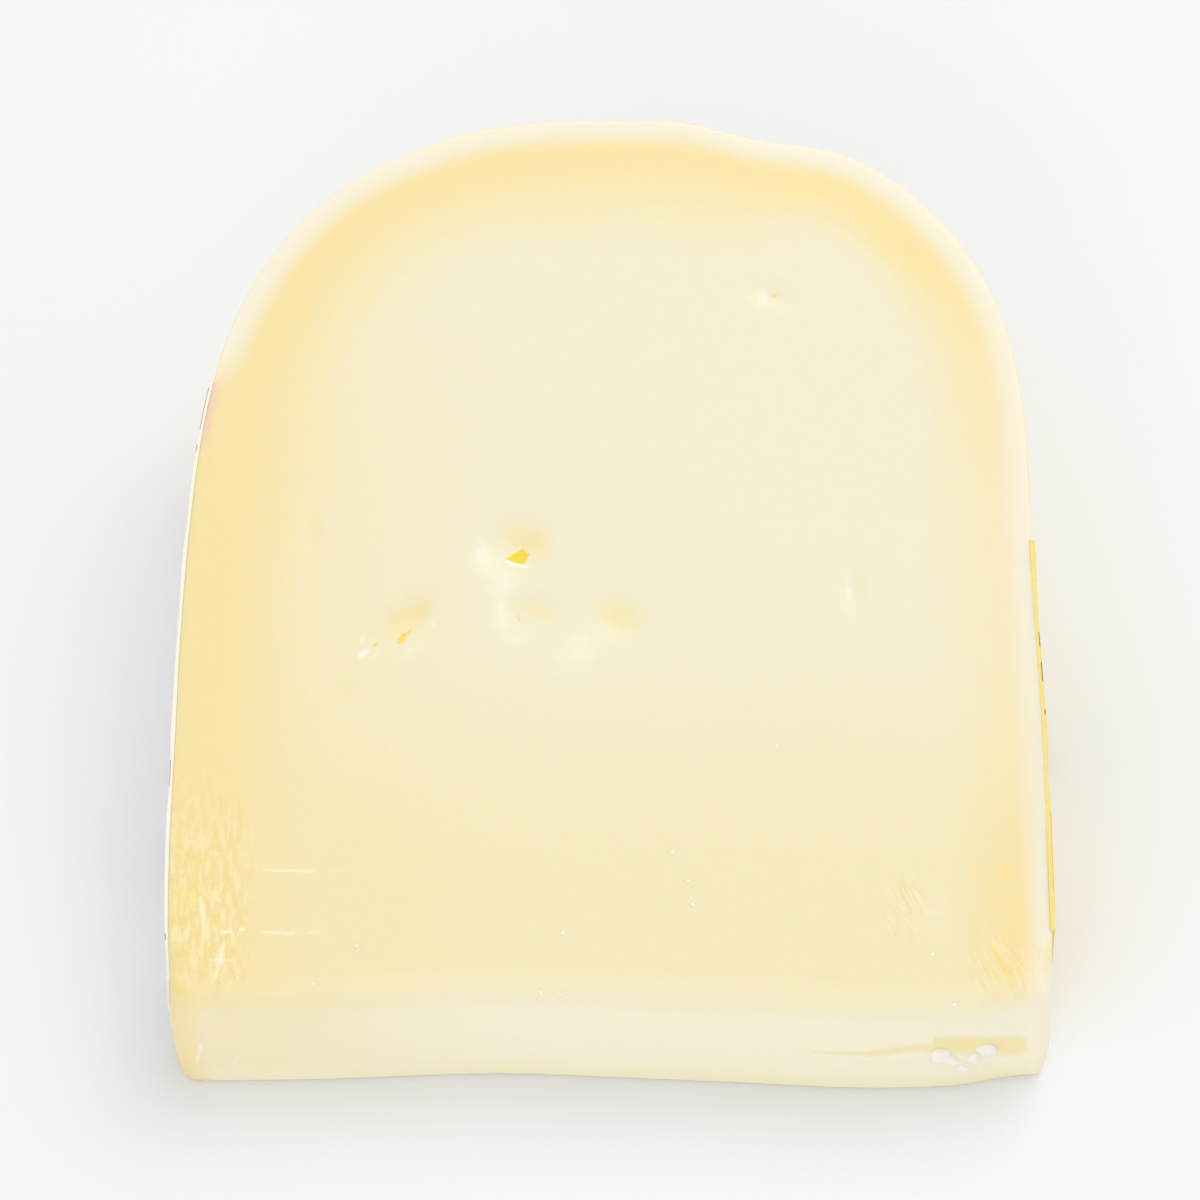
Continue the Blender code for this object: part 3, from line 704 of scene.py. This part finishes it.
# Share, in the shader, of a place inside one crease: 1 at its bowed midline, 0 at half its width and its ends.
def creaseShare(across, along, crease):
    fromX, fromAlong, toX, toAlong, halfWidth, bow, tone = crease
    run = math.hypot(toX - fromX, toAlong - fromAlong)
    runX, runAlong = (toX - fromX) / run, (toAlong - fromAlong) / run
    start = -(fromX * runX + fromAlong * runAlong) / run
    share = along.maths("MULTIPLY_ADD", along, runAlong / run, start)
    share = across.maths("MULTIPLY_ADD", across, runX / run, share)
    side = along.maths("MULTIPLY_ADD", along, runX, fromX * runAlong - fromAlong * runX)
    aside = across.maths("MULTIPLY_ADD", across, -runAlong, side)
    between = share * (1.0 - share)
    if bow:
        aside = between.maths("MULTIPLY_ADD", between, -4.0 * bow, aside)
    return aside.maths("ABSOLUTE", aside).ramp(halfWidth, 0.25 * halfWidth) * between.ramp(0.0, 0.10) * tone


# Share, in the shader, of a place inside the big eye's torn opening, its outline roughened by noise.
def tearShare(across, along, rough):
    corners = cutFace["tear"]
    inside = 10.0
    for (fromX, fromAlong), (toX, toAlong) in zip(corners, corners[1:] + corners[:1]):
        run = math.hypot(toX - fromX, toAlong - fromAlong)
        side = (along - fromAlong) * ((toX - fromX) / run) - (across - fromX) * ((toAlong - fromAlong) / run)
        inside = side.maths("MINIMUM", side, inside)
    return (inside + rough).ramp(-0.05, 0.07)


# Colour runs from cream in the middle to yellow under the rind and pale at its very edge; tone adds the deep
# yellow of holes and creases, the paleness of lifted wrapping, and painted light, shade and glints.
def cheesePaint():
    paint = Paint("cheese_paste", {
        "Subsurface Weight": 0.45,
        "Subsurface Radius": (1.0, 0.75, 0.45),
        "Subsurface Scale": 0.0016,
        "Specular IOR Level": 0.3,
        "Coat Roughness": 0.18,
    })
    rind, along, across = paint.attribute("rind"), paint.attribute("along"), paint.attribute("across")
    cut, tone, height = paint.attribute("cutShare"), paint.attribute("tone"), paint.attribute("height")
    cloud = paint.noise(38.0, 3.0)
    grain = paint.noise(900.0, 2.0)
    fleck = paint.noise(260.0, 3.0, (1.0, 2.2, 1.0))
    lines = paint.noise(420.0, 3.0, (0.06, 1.0, 1.0))
    wander = (cloud - 0.5) * 6.0
    leftShare, rightShare = across.ramp(-30.0, -50.0) * along.ramp(86.0, 77.0), across.ramp(5.0, 35.0)
    colour = paint.blend(along.ramp(50.0, 14.0), cheeseLook["heart"], cheeseLook["nearBlunt"])
    climb = leftShare * rind.ramp(-0.6, 0.3) + (1.0 - leftShare) * (rind + wander * 0.12).ramp(0.5, 4.2)
    fall = (1.0 - rightShare) * (rind + wander).ramp(20.0, 3.5) + rightShare * (rind + wander).ramp(14.0, 4.0)
    rightFlank = across.ramp(25.0, 48.0) * along.ramp(100.0, 60.0) * along.ramp(5.0, 35.0)
    leftSide = across.ramp(-5.0, -50.0) * along.ramp(104.0, 70.0)
    band = climb * fall * (1.0 - 0.62 * rightFlank) * (0.9 + 0.2 * fleck)
    colour = paint.blend(leftSide * 0.42, colour, cheeseLook["band"])
    colour = paint.blend(band.clamped(), colour, cheeseLook["band"])
    colour = paint.blend((1.0 - climb) * (0.9 - 0.3 * rightFlank), colour, cheeseLook["outerRim"])
    corner = rind + wander * 0.3 + across.ramp(0.0, 40.0) * 4.0
    bluntShare = along.ramp(8.0, 3.0) * (1.0 - cut) * corner.ramp(0.4, 4.2)
    rindShare = along.ramp(3.0, 8.0) * (1.0 - cut)
    ivory = paint.blend(across.ramp(-8.0, -50.0) * 0.7, cheeseLook["bluntFace"], cheeseLook["leftBlunt"])
    # Towards the foot the blunt end turns slightly darker and yellower: painted shade near the floor.
    ivory = paint.blend((height + wander * 0.5).ramp(7.0, 1.0), ivory, cheeseLook["bluntFoot"])
    colour = paint.blend(bluntShare, colour, ivory)
    colour = paint.blend(rindShare, colour, cheeseLook["rindSkin"])
    # Pink light bounced from the left label's print onto the paste beside it: painted light.
    labelBounceShare = rind.ramp(1.9, 0.1) * along.ramp(69.0, 74.0) * along.ramp(81.0, 78.0) * across.ramp(-35.0, -42.0)
    colour = paint.blend(labelBounceShare * 0.7, colour, cheeseLook["paintedLabelBounce"])
    tall = paint.folds((across + wander * 0.15) / 0.75, along / 2.4)
    cross = paint.folds(across / 2.0, along / 0.8)
    slant = paint.folds((across * 0.88 + along * 0.47) / 0.5, (along * 0.88 - across * 0.47) / 3.0)
    leftZone = across.ramp(-41.5, -46.0) * along.ramp(-1.0, 4.0) * along.ramp(34.0, 14.0) * cut
    foldZone = across.ramp(44.0, 47.5) * across.ramp(55.0, 52.0) * along.ramp(-1.0, 1.5) * along.ramp(12.0, 7.0)
    hatchZone = across.ramp(34.4, 36.4) * across.ramp(41.0, 38.4) * along.ramp(7.4, 9.8) * along.ramp(17.0, 14.0)
    rightZone = (foldZone + hatchZone * 1.3) * cut
    light = leftZone * (tall.ramp(0.48, 0.62) + cross.ramp(0.60, 0.74) * 0.6)
    light = light + rightZone * slant.ramp(0.52, 0.64) * 0.7
    # Dark: deep yellow between the folds where the wrapping lies on the paste; its floor of 0.45 over the left zone
    # is painted shade of the wrinkles.
    dark = leftZone * (0.45 + tall.ramp(0.46, 0.34)) + rightZone * slant.ramp(0.46, 0.34) * 0.8
    colour = paint.blend(dark.clamped() * 0.42, colour, cheeseLook["foldDeepAndShade"])
    colour = paint.blend(light.clamped() * 0.42, colour, cheeseLook["foldLight"])
    wobble = (paint.noise(700.0, 2.0) - 0.5) * 0.35
    bentAcross, bentAlong, bentHeight = across + wobble, along + wobble, height + wobble
    onCut = sum(creaseShare(bentAcross, bentAlong, crease) for crease in creasesAndPaintedLight["onCut"]) * cut
    onBlunt = sum(creaseShare(bentAcross, bentHeight, crease) for crease in creasesAndPaintedLight["onBlunt"])
    strokes = onCut + onBlunt * along.ramp(7.0, 4.0) * (1.0 - cut)
    # Spread: yellower for holes, creases and painted shade; paler for lifted wrapping, painted light and painted
    # glints.
    spread = tone + strokes + (fleck - 0.5) * 0.16 + (lines - 0.5) * 0.10
    colour = paint.blend(spread.ramp(0.02, 1.7), colour, cheeseLook["deep"])
    colour = paint.blend(spread.ramp(1.0, 1.9), colour, cheeseLook["hole"])
    colour = paint.blend(spread.ramp(-0.02, -0.8) * 0.85, colour, cheeseLook["pale"])
    rough = (paint.noise(1500.0, 2.0) - 0.5) * 0.5
    torn = tearShare(across, along, rough)
    lip = tearShare(across + 0.12, along + 0.42, rough * 1.6)
    colour = paint.blend(lip * 0.45, colour, cheeseLook["pale"])
    colour = paint.blend(torn, colour, cheeseLook["hole"])
    paint.feed("Base Color", colour)
    paint.feed("Roughness", cheeseLook["roughness"] + (fleck - 0.5) * 0.16)
    paint.feed("Coat Weight", (cheeseLook["coat"] + (cloud - 0.5) * 0.2).clamped())
    weave = paint.node("ShaderNodeTexNoise", {}, {"Vector": paint.place((1.0, 1.0, 1.0)), "Scale": 1500.0})
    relief = grain * 0.5 + lines * 0.25 + weave * rindShare * 0.8 + (light - dark) * 0.6
    paint.feed("Normal", paint.bump(relief, 0.16, 0.0004))
    return paint.material


print("working out the cheese")
cheesePoints, cheeseFaces, cheeseAttributes = cheeseSurface()
lowCorner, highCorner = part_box("cheese")
rawMiddle = 0.5 * (cheesePoints.min(axis=0) + cheesePoints.max(axis=0))
boxMiddle = 0.5 * (np.array(lowCorner) + np.array(highCorner)) / mm
shift = np.array([boxMiddle[0] - rawMiddle[0], boxMiddle[1] - rawMiddle[1], 0.0])
cheese = makePiece("cheeseWedge", (cheesePoints + shift) * mm, cheeseFaces, cheeseAttributes, cheesePaint())
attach(cheese, "root")
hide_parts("cheese")
print("cheese:", len(cheeseFaces), "faces")


# The labels that were stuck to the wheel's flat sides and cut with it. Their printed rings run round the
# wheel's axis: from, to (along, at the cut) and colour.
labels = {
    "left": {
        "stretch": 3, "from": 4.0, "to": 79.5, "sunk": 0.06, "thickness": 0.50, "foot": 0.9,
        "paper": screenColour(246, 240, 218), "face": screenColour(243, 243, 241),
        "rings": ((73.2, 78.8, screenColour(190, 120, 160)), (70.1, 71.2, screenColour(186, 118, 158)),
                  (27.2, 30.5, screenColour(214, 130, 140)), (8.2, 8.9, screenColour(90, 70, 60))),
        "fields": ((36.0, 64.0, screenColour(242, 234, 226)),),
    },
    "right": {
        "stretch": 1, "from": 9.2, "to": 58.6, "sunk": 0.28, "thickness": 0.68, "foot": 0.9,
        "paper": screenColour(245, 218, 114), "face": screenColour(247, 222, 124),
        "rings": ((44.8, 46.8, screenColour(150, 120, 60)), (40.5, 42.9, screenColour(150, 120, 60)),
                  (36.3, 36.9, screenColour(150, 100, 60))),
        "fields": ((14.0, 24.0, screenColour(240, 196, 80)),),
    },
    "columns": 260,
    "rows": 16,
    "edgeSteps": 3,
    "wave": 0.25,
}


# Closed thin sheet: for each place along, a loop runs up the inner face, over the cut edge, down the outer
# face and back under the foot edge.
def labelSurface(label):
    flank = outlineStretches(0.0)[label["stretch"]]
    flank = flank[:, 12:] if label["stretch"] == 1 else flank[:, :-12]
    tangent = np.gradient(flank, axis=1)
    normal = np.array([tangent[1], -tangent[0]]) / np.hypot(*tangent)
    order = np.argsort(flank[1])
    along = np.linspace(label["from"], label["to"], labels["columns"] + 1)[:, None]
    x, outX, outAlong = (np.interp(along, flank[1][order], row[order]) for row in (flank[0], *normal))
    low = label["foot"] / radiusAt(along)
    edge = edgeRadiusAt(along)
    high = wedge["turn"] - (edge - wedge["rindEdge"]) / radiusAt(along)
    rise = np.linspace(0.0, 1.0, labels["rows"] + 1)
    over = np.linspace(0.0, 1.0, labels["edgeSteps"] + 2)[1:-1]
    share = np.concatenate([rise, np.ones(len(over)), rise[::-1], np.zeros(len(over))])[None, :]
    depth = np.concatenate([0.0 * rise, over, 0.0 * rise + 1.0, over[::-1]])[None, :]
    turn = low + (high - low) * share
    swell = bulgeAt((turn - low) / (wedge["turn"] - edge / radiusAt(along) - low))
    wave = labels["wave"] * (smoothNoise(along / 7.0 + share, share * 2.0 + 0.0 * along, 91, 2) - 0.5)
    reach = label["thickness"] * depth - label["sunk"] + swell + wave * depth
    points = wedgePoint(x + outX * reach, along + outAlong * reach, turn)
    count, around = points.shape[:2]
    number = np.arange(count * around).reshape(count, around)
    quads = np.concatenate([ringQuads(number[row], number[row + 1]) for row in range(count - 1)])
    half = len(rise)
    caps = []
    for row in (0, -1):
        loop = number[row].tolist()
        inner, outer = loop[:half], loop[half + len(over):2 * half + len(over)][::-1]
        cap = [[inner[k], inner[k + 1], outer[k + 1], outer[k]] for k in range(1, half - 2)]
        cap.append([inner[0], inner[1], outer[1], outer[0], *loop[2 * half + len(over):]])
        cap.append([inner[-2], inner[-1], *loop[half:half + len(over)], outer[-1], outer[-2]])
        caps += [face[::-1] if row == 0 else face for face in cap]
    if label["stretch"] == 3:
        quads, caps = quads[:, ::-1], [face[::-1] for face in caps]
    attributes = {"along": along + 0.0 * share, "depth": depth + 0.0 * along, "share": share + 0.0 * along}
    return points.reshape(-1, 3), quads.tolist() + caps, attributes


def labelPaint(name, label):
    paint = Paint(name, {"Specular IOR Level": 0.4, "Subsurface Weight": 0.1, "Subsurface Scale": 0.001})
    along, depth = paint.attribute("along"), paint.attribute("depth")
    fibre = paint.noise(1400.0, 4.0)
    smear = paint.noise(160.0, 2.0)
    wander = (smear - 0.5) * 0.5
    printed = depth.ramp(0.70, 0.88)
    colour = paint.blend(printed, label["paper"], label["face"])
    for low, high, ink in label["fields"] + label["rings"]:
        inside = (along + wander).ramp(low - 0.12, low + 0.12) * (along + wander).ramp(high + 0.12, high - 0.12)
        colour = paint.blend(inside * printed, colour, ink)
    colour = paint.blend(fibre.ramp(0.35, 0.8) * 0.10, colour, (1.0, 1.0, 1.0, 1.0))
    paint.feed("Base Color", colour)
    paint.feed("Roughness", 0.5 + (fibre - 0.5) * 0.25)
    paint.feed("Normal", paint.bump(fibre, 0.15, 0.0002))
    return paint.material


for side in ("left", "right"):
    sheet, sheetFaces, sheetAttributes = labelSurface(labels[side])
    slotName = {"left": "white_paper", "right": "yellow_paper"}[side]
    label = makePiece(side + "Label", (sheet + shift) * mm, sheetFaces, sheetAttributes,
                      labelPaint(slotName, labels[side]))
    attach(label, "root")
    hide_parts("label_" + side)
print("labels done")


# Crumbs: lumps of paste torn out of the crack, each x, height, half length, half width, how far its middle is
# sunk, how far it stands up from there, lean; and flat specks lying on the cut, each x, along, half width.
crumbs = {
    "seed": 7,
    "around": 18,
    "up": 12,
    "ragged": 0.20,
    "speckRise": 0.35,
    "blunted": 0.85,       # below 1 flattens the lumps' tops
    "lumps": (
        (42.2, 8.6, 1.70, 2.40, 0.72, 0.92, -0.20),
        (43.9, 7.4, 2.20, 1.45, 0.60, 0.80, -0.90),
        (45.2, 5.1, 2.00, 1.25, 0.40, 0.60, -1.00),
        (47.9, 8.3, 1.85, 2.25, 0.74, 0.96, 0.20),
        (46.3, 7.5, 1.60, 1.60, 0.66, 0.86, 0.50),
        (48.5, 6.8, 1.10, 1.20, 0.60, 0.78, 0.10),
        (47.1, 4.1, 0.95, 1.60, 0.30, 0.50, 0.0),
        (48.2, 5.3, 0.75, 0.80, 0.36, 0.54, 0.0),
    ),
    "specks": ((9.0, 19.0, 0.26), (10.9, 15.4, 0.24), (11.4, 12.5, 0.28), (-4.5, 8.9, 0.30), (-29.9, 7.3, 0.26),
               (22.0, 32.3, 0.18), (40.8, 6.3, 0.26), (43.5, 0.6, 0.28), (-7.3, 2.0, 0.22), (-4.9, 1.8, 0.20),
               (-35.2, 2.8, 0.20)),
}


# Each crumb is a sphere whose radius follows noise, stretched to its three half sizes, leaned and set in
# place. On the rounded edge of the blunt end a speck lies edge - sqrt(edge^2 - (edge - along)^2) lower.
def crumbSurface():
    lumps, specks = np.array(crumbs["lumps"]), np.array(crumbs["specks"])
    edge = wedge["bluntEdge"]
    straight = wedge["turn"] * radiusAt(0.0) - edge - wedge["foot"]
    front = unevenSection(lumps[:, 0], 0.0 * lumps[:, 0])[1] + lumps[:, 4]
    front = front - bulgeAt((lumps[:, 1] - wedge["foot"]) / straight)
    atEnd = wedgePoint(lumps[:, 0], front, lumps[:, 1] / radiusAt(0.0))
    inEdge = np.clip(edge - specks[:, 1] + unevenSection(specks[:, 0], 0.0 * specks[:, 0])[1], 0.0, edge)
    depth = cutRelief(specks[:, 0], specks[:, 1])[0] + edge - np.sqrt(edge ** 2 - inEdge ** 2)
    onCut = wedgePoint(specks[:, 0], specks[:, 1], wedge["turn"] - depth / radiusAt(specks[:, 1]))
    centres = np.vstack([atEnd, onCut])
    flat = specks[:, [2, 2, 2]] * np.array([1.0, 1.0, crumbs["speckRise"]])
    sizes = np.vstack([lumps[:, [2, 5, 3]], flat])
    lean = np.concatenate([lumps[:, 6], 0.0 * specks[:, 0]])[:, None]
    turnAround = np.linspace(0.0, 2 * math.pi, crumbs["around"], endpoint=False)[None, :]
    fromPole = np.linspace(0.0, math.pi, crumbs["up"])[1:-1, None]
    ball = np.stack([np.sin(fromPole) * np.cos(turnAround), np.sin(fromPole) * np.sin(turnAround),
                     np.cos(fromPole) + 0.0 * turnAround], axis=-1).reshape(-1, 3)
    ball = np.vstack([ball, [[0, 0, 1], [0, 0, -1]]])
    which = np.arange(len(sizes))[:, None]
    swell = smoothNoise(ball[:, 0] * 1.7 + which * 9.1, ball[:, 1] * 1.7 + ball[:, 2] * 1.3, crumbs["seed"], 3) - 0.5
    ball[:, 1] = np.sign(ball[:, 1]) * np.abs(ball[:, 1]) ** crumbs["blunted"]
    lump = ball[None] * (1.0 + crumbs["ragged"] * 2.0 * swell[..., None]) * sizes[:, None]
    leaned = np.stack([lump[..., 0] * np.cos(lean) - lump[..., 2] * np.sin(lean), lump[..., 1],
                       lump[..., 0] * np.sin(lean) + lump[..., 2] * np.cos(lean)], axis=-1)
    points = centres[:, None] + leaned
    around, rows = crumbs["around"], crumbs["up"] - 2
    number = np.arange(around * rows).reshape(rows, around)
    quads = np.concatenate([ringQuads(number[row + 1], number[row]) for row in range(rows - 1)])
    top = np.stack([number[0], np.roll(number[0], -1), np.full(around, around * rows)], axis=-1)
    bottom = np.stack([np.roll(number[-1], -1), number[-1], np.full(around, around * rows + 1)], axis=-1)
    step = (np.arange(len(sizes)) * len(ball))[:, None, None]
    faces = (quads[None] + step).reshape(-1, 4).tolist()
    faces += (np.vstack([top, bottom])[None] + step).reshape(-1, 3).tolist()
    return points.reshape(-1, 3), faces


def crumbPaint():
    paint = Paint("cheeseCrumb", {"Roughness": 0.6})
    grain = paint.noise(1800.0, 4.0)
    paint.feed("Base Color", paint.blend(grain, screenColour(248, 240, 224), screenColour(253, 247, 234)))
    paint.feed("Normal", paint.bump(grain, 0.25, 0.0002))
    return paint.material


crumbPoints, crumbFaces = crumbSurface()
crumbPiece = makePiece("crumbs", (crumbPoints + shift) * mm, crumbFaces, {}, crumbPaint())
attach(crumbPiece, "root")
print("crumbs done")


studio = {
    "tilt": math.radians(28),       # camera off the vertical, towards the blunt end
    "distance": 420.0,
    "fieldWidth": 151.0,
    "targetAlongFloor": 130.9,      # from the wheel's axis
    "targetHeight": 35.1,
    "sensor": 36.0,
    "floorHalf": 3000.0,
    "floorColour": screenColour(236, 238, 241),
    "skyColour": (0.985, 0.99, 1.0, 1.0),
    "skyStrength": 0.805,
    "keyPlace": (330.0, 420.0, 1000.0),
    "keySize": 700.0,
    "keyPower": 3.65,
    "keyColour": (1.0, 0.99, 0.975),
    "fillPlace": (-360.0, -880.0, 560.0),
    "fillSize": 900.0,
    "fillPower": 2.1,
    "fillColour": (1.0, 0.975, 0.94),
}


def aimedAt(thing, place, target):
    thing.location = place
    thing.rotation_mode = "QUATERNION"
    thing.rotation_quaternion = (target - place).to_track_quat("-Z", "Y")


def makeStudio():
    scene = bpy.context.scene
    target = Vector((shift[0], studio["targetAlongFloor"] + shift[1], studio["targetHeight"])) * mm
    back = Vector((0.0, -math.sin(studio["tilt"]), math.cos(studio["tilt"])))
    camera = bpy.data.objects.new("camera", bpy.data.cameras.new("camera"))
    camera.data.sensor_width = studio["sensor"]
    camera.data.lens = studio["sensor"] * studio["distance"] / studio["fieldWidth"]
    camera.data.clip_start = 0.01
    aimedAt(camera, target + back * studio["distance"] * mm, target)
    scene.collection.objects.link(camera)
    scene.camera = camera
    for name in ("key", "fill"):
        light = bpy.data.objects.new(name + "Light", bpy.data.lights.new(name + "Light", "AREA"))
        light.data.size = studio[name + "Size"] * mm
        light.data.energy = studio[name + "Power"]
        light.data.color = studio[name + "Colour"]
        aimedAt(light, Vector(studio[name + "Place"]) * mm, Vector((0.0, 0.0, 0.02)))
        scene.collection.objects.link(light)
    half = studio["floorHalf"]
    corners = np.array([[-half, -half, 0.0], [half, -half, 0.0], [half, half, 0.0], [-half, half, 0.0]])
    floorPaint = Paint("floor", {"Base Color": studio["floorColour"], "Roughness": 0.6})
    floor = makePiece("floor", corners * mm, [[0, 1, 2, 3]], {}, floorPaint.material)
    world = bpy.data.worlds.new("studio")
    world.use_nodes = True
    sky = world.node_tree.nodes["Background"]
    sky.inputs["Color"].default_value = studio["skyColour"]
    sky.inputs["Strength"].default_value = studio["skyStrength"]
    scene.world = world
    scene.view_settings.view_transform = "Standard"


makeStudio()
print("studio done")
